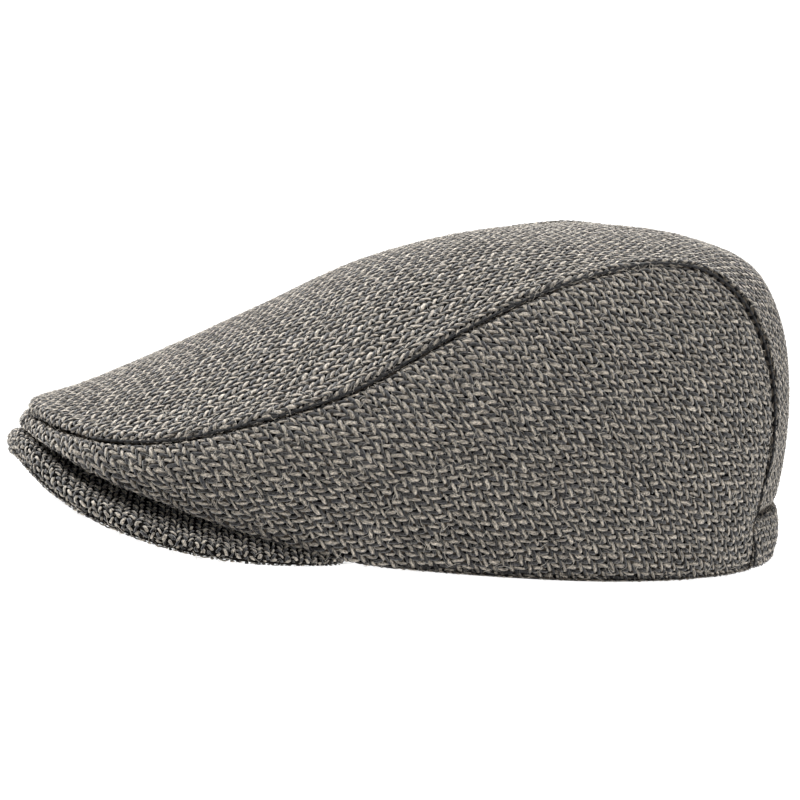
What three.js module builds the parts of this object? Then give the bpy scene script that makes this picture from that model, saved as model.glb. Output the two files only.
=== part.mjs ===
// A wool tweed flat cap: a top panel sewn between two side panels, a stiff peak and a rear band.
// Millimetres, +Z up, the peak towards -Y, the wearer's left towards +X, the hem flat on Z = 0.
import * as THREE from 'three';

// Cloth and sewing.
const CLOTH = 2.0;            // wall of the panels, tweed with its backing
const GAP = 0.3;              // clearance left between sewn pieces
const SEAM_GAP = 0.5;         // clearance along the curved seams of the top panel
const TWEED = { color: 0x6e675f, roughness: 0.95, metalness: 0.0 };

// Head opening: an oval, fuller than an ellipse, that the hem follows round the sides and back.
const HEAD_HALF_WIDTH = 83.5;
const HEAD_HALF_LENGTH = 103.5;
const HEAD_CENTRE_Y = 33.1;
const HEAD_FULLNESS = 2.08;   // exponent of the oval, 2 is an ellipse

// Crown, left half, one row for each section from the front tip to the rear band.
// seam: top panel meets side panel. ridge: middle line of the top panel. edge: fold over the peak,
// then the hem. belly: how far the side panel swells. tuck: how far the fold runs back, 1 is all the
// way to the head opening.
const CROWN_COLUMNS = [
  'seamX', 'seamY', 'seamZ', 'ridgeY', 'ridgeZ', 'edgeX', 'edgeY', 'edgeZ', 'belly', 'tuck'];
const CROWN_ROWS = [
  [0, -133.1, 32.6, -133.1, 32.6, 0, -135.3, 27.2, 1.4, 1],
  [20, -127.1, 31.8, -130.9, 35.6, 24, -129.9, 25, 1.8, 1],
  [38, -115.5, 32.3, -122.4, 38, 43, -115.3, 19.6, 3, 1],
  [50, -97.9, 35.2, -109.9, 42.5, 53, -100.4, 16.4, 4, 1],
  [57, -80.2, 41, -92.9, 50.2, 62, -81.9, 12, 5.5, 1],
  [59, -39.9, 55.7, -52.9, 72, 71, -43.9, 3.8, 8, 1],
  [56, -6.5, 75.1, -16.9, 91, 77.6, -13.4, 0, 9, 0],
  [52, 28.5, 92.9, 22.1, 102.5, 81.5, 8.8, 0, 10, 0],
  [48, 56.4, 101.5, 54.1, 106.3, 83.4, 37.1, 0, 10, 0],
  [46, 70.7, 103.3, 75.1, 107.4, 82, 54.3, 0, 10, 0],
  [46, 86.6, 101, 99.1, 106.4, 79, 68.7, 0, 9, 0],
  [47, 101.5, 90.4, 119.6, 99.2, 75, 80.9, 0, 7.5, 0],
  [49, 111.3, 72.5, 131.6, 81, 70, 91.8, 0, 5.5, 0],
  [51, 115.1, 53, 136.8, 58, 65, 100.2, 0, 3, 0],
  [53.5, 113.7, 34.4, 137.9, 36, 60.5, 106.4, 0, 1.5, 0],
  [55.5, 109.7, 19, 136.7, 18, 56.5, 111.2, 0, 0.5, 0],
];
const TOP_FLATNESS = 2.3;     // exponent of the top panel's arch, higher is flatter on top
const UPPER_SWELL = 1.2;      // swell of a side panel's upper half, as a share of its belly
const TIP_STATION = 0.15;     // the top panel starts this part of a section behind the tip
const STEPS_PER_SECTION = 3;
const TOP_STEPS = 10;         // facets from the ridge to a seam
const SIDE_STEPS = 10;        // facets from the seam to the edge
const TUCK_STEPS = 3;         // facets along the fold that runs back over the peak
const TUCK_CORNER = 1.5;      // inner corner of the fold, in wall thicknesses above the edge
const BESIDE_SEAM = 0.03;     // how far in from a seam its panels' directions are taken, 0 to 1
const MITRE_LIMIT = 0.6;      // least cosine of a mitre, so that no mitre grows too deep
const SLOPE_STEP = 0.01;      // step of station or width over which a direction is taken

// Rear band, as wide as the end of the top panel.
const BAND_STEPS = 24;
const BAND_RISE_STEPS = 3;
const BAND_END_GAP = 0.42;    // clearance beyond each end of the band

// Peak: a flat stiffened plate bent over an arch whose rulings run along Y. One row for each line
// from the head opening to the rim. rim: outer edge in plan. root: where the line leaves the opening.
// thick: the plate with its padding. dip: how far its end is pressed down below the hem of the crown.
const PEAK_CROWN_Z = 22.0;    // middle of the plate on the centre line
const PEAK_SLOPE = 0.343;     // fall of the plate's straight sides for each millimetre across
const PEAK_ROUND = 20;        // half width of the rounded middle between those sides
const PEAK_COLUMNS = ['rimX', 'rimY', 'rootX', 'thick', 'dip'];
const PEAK_ROWS = [
  [0, -137.9, 0, 4.6, 0],
  [16, -136.4, 11, 4.6, 0],
  [33, -131.4, 22, 4.6, 0],
  [48, -122.9, 32, 4.5, 0],
  [59.5, -111.4, 39, 4.4, 0],
  [67.5, -99.4, 44, 4.1, 0],
  [72.3, -87.4, 48, 3.7, 0],
  [74.8, -75.4, 51, 3.2, 0.1],
  [75.6, -62.9, 53.5, 2.8, 0.4],
  [74.6, -50.9, 55.5, 2.6, 1.1],
  [72, -41.4, 57, 2.4, 2],
  [67.5, -36.4, 57.5, 2.2, 2.6],
  [62, -35.9, 57.7, 2, 2.6],
];
const PEAK_STEPS_PER_ROW = 2;
const PEAK_FLAT_STEPS = 4;    // facets from the root to where the rim starts to round
const RIM_STEPS = 4;          // facets of the rounded rim
const RIM_ANGLE = 1.3;        // how far round the rim turns before its blunt edge, radians

// A smooth curve through three columns of a table, by station 0 to 1. ZERO stands for no column.
const ZERO = 'zero';
function tableCurve(columns, rows, names) {
  const read = (row, name) => (name === ZERO ? 0 : row[columns.indexOf(name)]);
  const points = rows.map((row) => new THREE.Vector3(...names.map((name) => read(row, name))));
  const curve = new THREE.CatmullRomCurve3(points);
  return (station) => curve.getPoint(station);
}

const seamAt = tableCurve(CROWN_COLUMNS, CROWN_ROWS, ['seamX', 'seamY', 'seamZ']);
const ridgeAt = tableCurve(CROWN_COLUMNS, CROWN_ROWS, [ZERO, 'ridgeY', 'ridgeZ']);
const edgeCurve = tableCurve(CROWN_COLUMNS, CROWN_ROWS, ['edgeX', 'edgeY', 'edgeZ']);
const edgeAt = (station) => edgeCurve(station).max(new THREE.Vector3(0, -Infinity, 0));
const swellAt = tableCurve(CROWN_COLUMNS, CROWN_ROWS, ['belly', 'tuck', ZERO]);
const rimAt = tableCurve(PEAK_COLUMNS, PEAK_ROWS, ['rimX', 'rimY', 'thick']);
const rootAt = tableCurve(PEAK_COLUMNS, PEAK_ROWS, ['rootX', 'dip', ZERO]);

// The oval of the head opening, less an inset, at a half width x on its front half.
function headFrontY(x, inset) {
  const across = (x / (HEAD_HALF_WIDTH - inset)) ** HEAD_FULLNESS;
  return HEAD_CENTRE_Y - (HEAD_HALF_LENGTH - inset) * (1 - across) ** (1 / HEAD_FULLNESS);
}

// The point of the inset oval that lies towards a point outside it.
function headPointTowards(p, inset) {
  const dx = p.x / (HEAD_HALF_WIDTH - inset);
  const dy = (p.y - HEAD_CENTRE_Y) / (HEAD_HALF_LENGTH - inset);
  const reach = (Math.abs(dx) ** HEAD_FULLNESS + Math.abs(dy) ** HEAD_FULLNESS) ** (-1 / HEAD_FULLNESS);
  return new THREE.Vector3(p.x * reach, HEAD_CENTRE_Y + (p.y - HEAD_CENTRE_Y) * reach, 0);
}

// Height of the middle of the peak's plate.
function peakMiddleZ(x) {
  return PEAK_CROWN_Z - PEAK_SLOPE * (Math.hypot(x, PEAK_ROUND) - PEAK_ROUND);
}

// Top panel: u runs from the ridge, 0, to the left seam, 1.
function topPoint(station, u) {
  const seam = seamAt(station);
  const ridge = ridgeAt(station);
  return new THREE.Vector3(
    seam.x * u,
    ridge.y + (seam.y - ridge.y) * u * u,
    ridge.z + (seam.z - ridge.z) * Math.abs(u) ** TOP_FLATNESS);
}

// Left side panel: v runs from the seam, 0, to the edge, 1, along a cubic that swells outwards.
function sidePoint(station, v) {
  const seam = seamAt(station);
  const edge = edgeAt(station);
  const belly = swellAt(station).x;
  const before = edgeAt(Math.max(station - SLOPE_STEP, 0));
  const after = edgeAt(Math.min(station + SLOPE_STEP, 1));
  const out = new THREE.Vector3(after.y - before.y, before.x - after.x, 0).normalize();
  const upper = seam.clone().lerp(edge, 1 / 3).addScaledVector(out, UPPER_SWELL * belly);
  const lower = seam.clone().lerp(edge, 2 / 3).addScaledVector(out, belly);
  return new THREE.CubicBezierCurve3(seam, upper, lower, edge).getPoint(v);
}

// Outward unit normal of a panel at a station and a place across it.
function panelNormal(panel, station, across) {
  const along = panel(Math.min(station + SLOPE_STEP, 1), across)
    .sub(panel(Math.max(station - SLOPE_STEP, 0), across));
  const over = panel(station, Math.min(across + SLOPE_STEP, 1))
    .sub(panel(station, Math.max(across - SLOPE_STEP, -1)));
  return over.cross(along).normalize();
}

// Inward step at the seam that suits both panels, so that their edges meet on one mitre.
function seamMitre(station) {
  const open = Math.max(station, TIP_STATION / (CROWN_ROWS.length - 1));
  const top = panelNormal(topPoint, open, 1 - BESIDE_SEAM);
  const side = panelNormal(sidePoint, station, BESIDE_SEAM);
  if (station < open) top.setX(0).normalize();
  const middle = top.clone().add(side).normalize();
  return middle.multiplyScalar(-CLOTH / Math.max(middle.dot(top), MITRE_LIMIT));
}

// A closed solid between an outer and an inner grid of points with the same rows and columns.
function solidBetween(outer, inner) {
  const rows = outer.length;
  const columns = outer[0].length;
  const positions = [...outer.flat(), ...inner.flat()].flatMap((p) => [p.x, p.y, p.z]);
  const index = [];
  const out = (i, j) => i * columns + j;
  const back = (i, j) => rows * columns + i * columns + j;
  const quad = (a, b, c, d) => index.push(a, b, c, a, c, d);
  for (let i = 0; i < rows - 1; i += 1) {
    for (let j = 0; j < columns - 1; j += 1) {
      quad(out(i, j), out(i, j + 1), out(i + 1, j + 1), out(i + 1, j));
      quad(back(i, j), back(i + 1, j), back(i + 1, j + 1), back(i, j + 1));
    }
    quad(out(i, 0), out(i + 1, 0), back(i + 1, 0), back(i, 0));
    quad(out(i, columns - 1), back(i, columns - 1), back(i + 1, columns - 1), out(i + 1, columns - 1));
  }
  for (let j = 0; j < columns - 1; j += 1) {
    quad(out(0, j + 1), out(0, j), back(0, j), back(0, j + 1));
    quad(out(rows - 1, j), out(rows - 1, j + 1), back(rows - 1, j + 1), back(rows - 1, j));
  }
  const geometry = new THREE.BufferGeometry();
  geometry.setAttribute('position', new THREE.Float32BufferAttribute(positions, 3));
  geometry.setIndex(index);
  geometry.computeVertexNormals();
  return geometry;
}

function mirrored(points) {
  return points.map((p) => new THREE.Vector3(-p.x, p.y, p.z));
}

const SECTIONS = CROWN_ROWS.length - 1;
const STATIONS = Array.from({ length: SECTIONS * STEPS_PER_SECTION + 1 },
  (_, i) => i / (SECTIONS * STEPS_PER_SECTION));

// Top panel: whole rows from seam to seam, closed by the same mitre as the side panels.
function topPanel() {
  const stations = [TIP_STATION / SECTIONS, ...STATIONS.slice(1)];
  const outer = [];
  const inner = [];
  for (const station of stations) {
    const halfRow = topPoint(station, 1).distanceTo(topPoint(station, 0));
    const reach = 1 - SEAM_GAP / 2 / halfRow;
    const outerHalf = [];
    const innerHalf = [];
    for (let j = 0; j <= TOP_STEPS; j += 1) {
      const u = reach * j / TOP_STEPS;
      const p = topPoint(station, u);
      const step = j === TOP_STEPS
        ? seamMitre(station)
        : panelNormal(topPoint, station, u).multiplyScalar(-CLOTH);
      outerHalf.push(p);
      innerHalf.push(p.clone().add(step));
    }
    outer.push([...mirrored(outerHalf.slice(1)).reverse(), ...outerHalf]);
    inner.push([...mirrored(innerHalf.slice(1)).reverse(), ...innerHalf]);
  }
  return solidBetween(outer, inner);
}

// Side panel of the wearer's left: down from the seam, round the fold and back over the peak.
function leftSideRows() {
  const outer = [];
  const inner = [];
  for (const station of STATIONS) {
    const length = sidePoint(station, 1).distanceTo(sidePoint(station, 0));
    const start = SEAM_GAP / 2 / length;
    const corner = 1 - TUCK_CORNER * CLOTH / length;
    const outerRow = [];
    const innerRow = [];
    for (let j = 0; j <= SIDE_STEPS; j += 1) {
      const share = j / SIDE_STEPS;
      const v = start + (corner - start) * share;
      const step = j === 0
        ? seamMitre(station)
        : panelNormal(sidePoint, station, v).multiplyScalar(-CLOTH);
      outerRow.push(sidePoint(station, start + (1 - start) * share));
      innerRow.push(sidePoint(station, v).add(step));
    }
    const edge = outerRow[SIDE_STEPS];
    const cornerPoint = innerRow[SIDE_STEPS];
    const wallFoot = edge.clone().add(
      panelNormal(sidePoint, station, 1).setZ(0).normalize().multiplyScalar(-CLOTH));
    const tuckEnd = headPointTowards(edge, CLOTH);
    tuckEnd.z = peakMiddleZ(tuckEnd.x) + rimAt(0).z / 2 + GAP;
    const tuck = THREE.MathUtils.clamp(swellAt(station).y, 0, 1);
    const foldEnd = wallFoot.lerp(tuckEnd, tuck);
    const foldTop = foldEnd.clone().add(new THREE.Vector3(0, 0, CLOTH));
    for (let j = 1; j <= TUCK_STEPS; j += 1) {
      outerRow.push(edge.clone().lerp(foldEnd, j / TUCK_STEPS));
      innerRow.push(cornerPoint.clone().lerp(foldTop, j / TUCK_STEPS));
    }
    for (const p of [...outerRow, ...innerRow]) p.x = Math.max(p.x, GAP / 2);
    outer.push(outerRow);
    inner.push(innerRow);
  }
  return { outer, inner };
}

function sidePanel(hand) {
  const { outer, inner } = leftSideRows();
  const handed = (rows) => (hand > 0 ? rows : rows.map((row) => mirrored(row).reverse()));
  return solidBetween(handed(outer), handed(inner));
}

// Rear band: a strip that stands on the hem and closes the back below the top panel.
function rearBand() {
  const foot = edgeAt(1);
  const footDepth = (x) => HEAD_CENTRE_Y + (foot.y - HEAD_CENTRE_Y)
    * ((1 - (Math.abs(x) / HEAD_HALF_WIDTH) ** HEAD_FULLNESS)
    / (1 - (foot.x / HEAD_HALF_WIDTH) ** HEAD_FULLNESS)) ** (1 / HEAD_FULLNESS);
  const wall = (u, rise) => {
    const low = new THREE.Vector3(foot.x * u, footDepth(foot.x * u), 0);
    const high = topPoint(1, u);
    high.z -= GAP;
    return low.lerp(high, rise);
  };
  const reach = 1 - BAND_END_GAP / foot.x;
  const outer = [];
  const inner = [];
  for (let i = 0; i <= BAND_STEPS; i += 1) {
    const u = reach * (2 * i / BAND_STEPS - 1);
    const tangent = wall(Math.min(u + SLOPE_STEP, 1), 0.5)
      .sub(wall(Math.max(u - SLOPE_STEP, -1), 0.5));
    const inward = new THREE.Vector3(-tangent.y, tangent.x, 0).normalize().multiplyScalar(-CLOTH);
    const column = Array.from({ length: BAND_RISE_STEPS + 1 }, (_, j) => wall(u, 1 - j / BAND_RISE_STEPS));
    outer.push(column);
    inner.push(column.map((p) => p.clone().add(inward)));
  }
  return solidBetween(outer.reverse(), inner.reverse());
}

// Peak: lines from the head opening to a rounded rim, right to left, on the upper and lower face.
function peakPlate() {
  const count = (PEAK_ROWS.length - 1) * PEAK_STEPS_PER_ROW;
  const upper = [];
  const lower = [];
  for (let i = -count; i <= count; i += 1) {
    const side = Math.sign(i) || 1;
    const rimRow = rimAt(Math.abs(i) / count);
    const rootRow = rootAt(Math.abs(i) / count);
    const root = new THREE.Vector2(rootRow.x, headFrontY(rootRow.x, CLOTH));
    const dip = rootRow.y;
    const rim = new THREE.Vector2(rimRow.x, rimRow.y);
    const half = rimRow.z / 2;
    const roundFrom = 1 - half / rim.distanceTo(root);
    const places = [];
    for (let j = 0; j <= PEAK_FLAT_STEPS; j += 1) places.push([roundFrom * j / PEAK_FLAT_STEPS, 1]);
    for (let j = 1; j <= RIM_STEPS; j += 1) {
      const turn = RIM_ANGLE * j / RIM_STEPS;
      places.push([roundFrom + (1 - roundFrom) * Math.sin(turn), Math.cos(turn)]);
    }
    const rise = (sign) => places.map(([along, share]) => {
      const p = root.clone().lerp(rim, along);
      return new THREE.Vector3(side * p.x, p.y, peakMiddleZ(p.x) - dip + sign * half * share);
    });
    upper.push(rise(1));
    lower.push(rise(-1));
  }
  return solidBetween(upper, lower);
}

function clothMesh(name, geometry) {
  const mesh = new THREE.Mesh(geometry, new THREE.MeshStandardMaterial(TWEED));
  mesh.name = name;
  return mesh;
}

const flatCap = new THREE.Group();
flatCap.add(
  clothMesh('top_panel', topPanel()),
  clothMesh('side_panel_left', sidePanel(1)),
  clothMesh('side_panel_right', sidePanel(-1)),
  clothMesh('peak', peakPlate()),
  clothMesh('rear_band', rearBand()),
);

export default flatCap;
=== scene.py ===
# A wool tweed flat cap, woven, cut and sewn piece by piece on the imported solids. Sizes are in
# millimetres until a mesh is made, which is in metres in the frame of the solids.
import math

import bpy
import numpy as np
from mathutils import Matrix, Vector, kdtree


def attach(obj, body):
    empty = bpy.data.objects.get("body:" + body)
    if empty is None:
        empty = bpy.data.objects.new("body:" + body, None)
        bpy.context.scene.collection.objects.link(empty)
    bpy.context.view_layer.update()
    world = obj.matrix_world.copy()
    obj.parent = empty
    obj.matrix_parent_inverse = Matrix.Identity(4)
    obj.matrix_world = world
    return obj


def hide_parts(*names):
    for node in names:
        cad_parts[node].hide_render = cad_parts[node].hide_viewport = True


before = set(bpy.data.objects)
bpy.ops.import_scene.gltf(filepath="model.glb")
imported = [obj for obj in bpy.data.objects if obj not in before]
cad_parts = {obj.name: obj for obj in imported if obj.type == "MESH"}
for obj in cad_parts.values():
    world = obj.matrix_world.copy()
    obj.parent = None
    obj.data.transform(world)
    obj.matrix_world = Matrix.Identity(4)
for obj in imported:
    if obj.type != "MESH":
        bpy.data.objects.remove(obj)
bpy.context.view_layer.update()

# Top panel. One long piece of tweed from the front tip over the crown and down the back, sewn between
# the side panels with its edge rolled over the seam. The tweed is a two-up two-down twill of thick
# woollen yarn, dark and light in turn both ways, and each float that shows is a strand of its own.
MM = 0.001
CLOTH = 2.0                   # wall of a panel
BACKING = 0.9                 # the backing lies this far below the face
BACKING_LIMIT = -1.7          # and no deeper than this, so that the backings meet in the seams
THREAD_SPACING = 1.54         # from one yarn to the next, both ways
FLOAT_LENGTH = 4.2            # a float with its two hidden ends
FLOAT_DIVE = 0.5              # how far the ends dive under the yarns that cross them
FLOAT_FULLNESS = 0.7          # how much fuller a float is towards its ends than a ball
YARN_WIDTH = 1.42
YARN_THICKNESS = 0.55
YARN_LIFT = -0.3              # middle of a float from the face of the panel
LIGHT_WIDER = 0.1             # share by which the light yarn is wider
WARP_THINNER = 0.12           # share by which a standing float is thinner
WARP_LEAN = 25.0              # degrees by which the crossing yarns push a standing float over
WEFT_LEAN = -11.0             # and a lying one
WARP_SLIP = 0.38              # shift of the standing floats along the twill line, in threads
BORDER_THREADS = 4            # woven past each border of the cut, and trimmed away
ASTRAY = 0.15                 # how far a float lies out of its place
SWAY, SWAY_PER_METRE = 5.0, 55.0       # how far and how often the rows wander
QUIVER, QUIVER_PER_METRE = 0.9, 260.0  # and quiver
WOOL_BUNDLE = 0.625           # bundle of fibres in the yarn
FLECKS_PER_BUNDLE = 1.625


def linear(hex_colour):
    """An sRGB hex colour as linear RGBA."""
    parts = [int(hex_colour[i:i + 2], 16) / 255 for i in (1, 3, 5)]
    return tuple(c / 12.92 if c <= 0.04045 else ((c + 0.055) / 1.055) ** 2.4 for c in parts) + (1.0,)


def add(tree, kind, inputs=(), **settings):
    """Adds a node with its settings, and sets its inputs or links them to a socket or to a node's first
    output. A kind with no family is a shader node, and its operation may follow it."""
    kind, _, operation = kind.partition(" ")
    node = tree.nodes.new(kind if "Node" in kind else "ShaderNode" + kind)
    if operation:
        node.operation = operation
    for name, value in settings.items():
        setattr(node, name, value)
    for name, value in inputs.items() if isinstance(inputs, dict) else enumerate(inputs):
        if isinstance(value, bpy.types.Node):
            value = value.outputs[0]
        if isinstance(value, bpy.types.NodeSocket):
            tree.links.new(value, node.inputs[name])
        else:
            node.inputs[name].default_value = value
    return node


def new_material(name, values):
    """A material whose surface has these values, with its tree and its surface."""
    material = bpy.data.materials.new(name)
    material.use_nodes = True
    surface = material.node_tree.nodes["Principled BSDF"]
    for label, value in values.items():
        surface.inputs[label].default_value = value
    return material, material.node_tree, surface.inputs


def woollen_yarn(name, shade, tint, fleck, share, frayed):
    """Carded wool, spun thick and left hairy: matt, with paler and darker fibres along each strand and
    a ragged blend with its neighbours down its flanks."""
    material, tree, surface = new_material(name, {
        "Roughness": 0.92, "Specular IOR Level": 0.15, "Sheen Weight": 0.55, "Sheen Roughness": 0.5})
    strand = add(tree, "Attribute", attribute_name="strand").outputs["Vector"]
    tone = add(tree, "Attribute", attribute_name="tone").outputs["Fac"]
    offset = add(tree, "VectorMath SCALE", {0: (7.0, 13.0, 29.0), "Scale": tone})
    along = add(tree, "Mapping", {
        "Vector": add(tree, "VectorMath ADD", [strand, offset]), "Scale": (0.6, 1.5, 1.5),
        "Rotation": (0, 0, 0.35)}, vector_type="POINT")
    fibres = add(tree, "TexNoise", {
        "Vector": along, "Scale": 1 / WOOL_BUNDLE, "Detail": 3.0, "Roughness": 0.65})
    flecks = add(tree, "TexNoise", {
        "Vector": along, "Scale": FLECKS_PER_BUNDLE / WOOL_BUNDLE, "Detail": 2.0, "Roughness": 0.6})
    body = add(tree, "Mix", {"Factor": tone, 6: linear(shade), 7: linear(tint)}, data_type="RGBA")
    streak = add(tree, "MapRange", {
        "Value": fibres, "From Min": 0.4, "From Max": 0.6, "To Min": 0.35, "To Max": 1.65})
    streaked = add(tree, "VectorMath SCALE", {0: body.outputs[2], "Scale": streak})
    spots = add(tree, "MapRange", {
        "Value": flecks, "From Min": 0.52, "From Max": 0.66, "To Min": 0.0, "To Max": share})
    colour = add(tree, "Mix", {"Factor": spots, 6: streaked, 7: linear(fleck)}, data_type="RGBA")
    beside = add(tree, "Math ABSOLUTE", [add(tree, "SeparateXYZ", [strand]).outputs["Y"]])
    flank = add(tree, "MapRange", {
        "Value": add(tree, "Math MULTIPLY_ADD", [flecks, 1.4, beside]),
        "From Min": 0.95, "From Max": 1.3, "To Min": 0.0, "To Max": 0.75})
    ragged = add(tree, "Mix", {
        "Factor": flank, 6: colour.outputs[2], 7: linear(frayed)}, data_type="RGBA")
    ridges = add(tree, "Bump", {"Strength": 0.6, "Distance": 0.25 * MM, "Height": fibres})
    tree.links.new(ragged.outputs[2], surface["Base Color"])
    tree.links.new(ridges.outputs[0], surface["Normal"])
    return material


light_yarn = woollen_yarn("light_woollen_yarn", "#a0978b", "#c6bcae", "#5d5a56", 0.5, "#47443f")
dark_yarn = woollen_yarn("dark_woollen_yarn", "#131417", "#34353a", "#8f8a83", 0.68, "#4d4a45")


def tweed_back(name, dark, light):
    """The ground between and behind the strands: the same weave, flat, matt and in shade, read from the
    cut."""
    material, tree, surface = new_material(name, {"Roughness": 0.95, "Specular IOR Level": 0.1})
    cut = add(tree, "UVMap", uv_map="cut")
    threads = add(tree, "VectorMath SCALE", {0: cut, "Scale": 1 / (THREAD_SPACING * MM)})
    split = add(tree, "SeparateXYZ", [threads]).outputs
    column = add(tree, "Math FLOOR", [split["X"]])
    row = add(tree, "Math FLOOR", [split["Y"]])
    step = add(tree, "Math FLOORED_MODULO", [add(tree, "Math ADD", [column, row]), 4.0])
    standing = add(tree, "Math LESS_THAN", [step, 1.5])
    thread = add(tree, "Mix", {"Factor": standing, 2: row, 3: add(tree, "Math ADD", [column, 1.0])})
    pale = add(tree, "Math GREATER_THAN", [add(tree, "Math FLOORED_MODULO", [thread, 2.0]), 0.5])
    wool = add(tree, "TexNoise", {"Vector": threads, "Scale": 1.4, "Detail": 3.0})
    colour = add(tree, "Mix", {"Factor": pale, 6: linear(dark), 7: linear(light)}, data_type="RGBA")
    shaded = add(tree, "VectorMath SCALE", {
        0: colour.outputs[2], "Scale": add(tree, "Math ADD", [wool, 0.45])})
    relief = add(tree, "Bump", {"Strength": 0.5, "Distance": 0.4 * MM, "Height": wool})
    tree.links.new(shaded.outputs[0], surface["Base Color"])
    tree.links.new(relief.outputs[0], surface["Normal"])
    return material


cloth_back = tweed_back("tweed_cloth_back", "#141416", "#5d564e")


def new_tree(name, output, inputs):
    """A tree with one geometry output, the identifiers of its named inputs, and the inputs."""
    tree = bpy.data.node_groups.new(name, "GeometryNodeTree")
    sockets = {}
    for label, kind in inputs.items():
        made = tree.interface.new_socket(label, in_out="INPUT", socket_type="NodeSocket" + kind)
        sockets[label] = made.identifier
    tree.interface.new_socket(output, in_out="OUTPUT", socket_type="NodeSocketGeometry")
    return tree, sockets, add(tree, "NodeGroupInput").outputs


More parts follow.
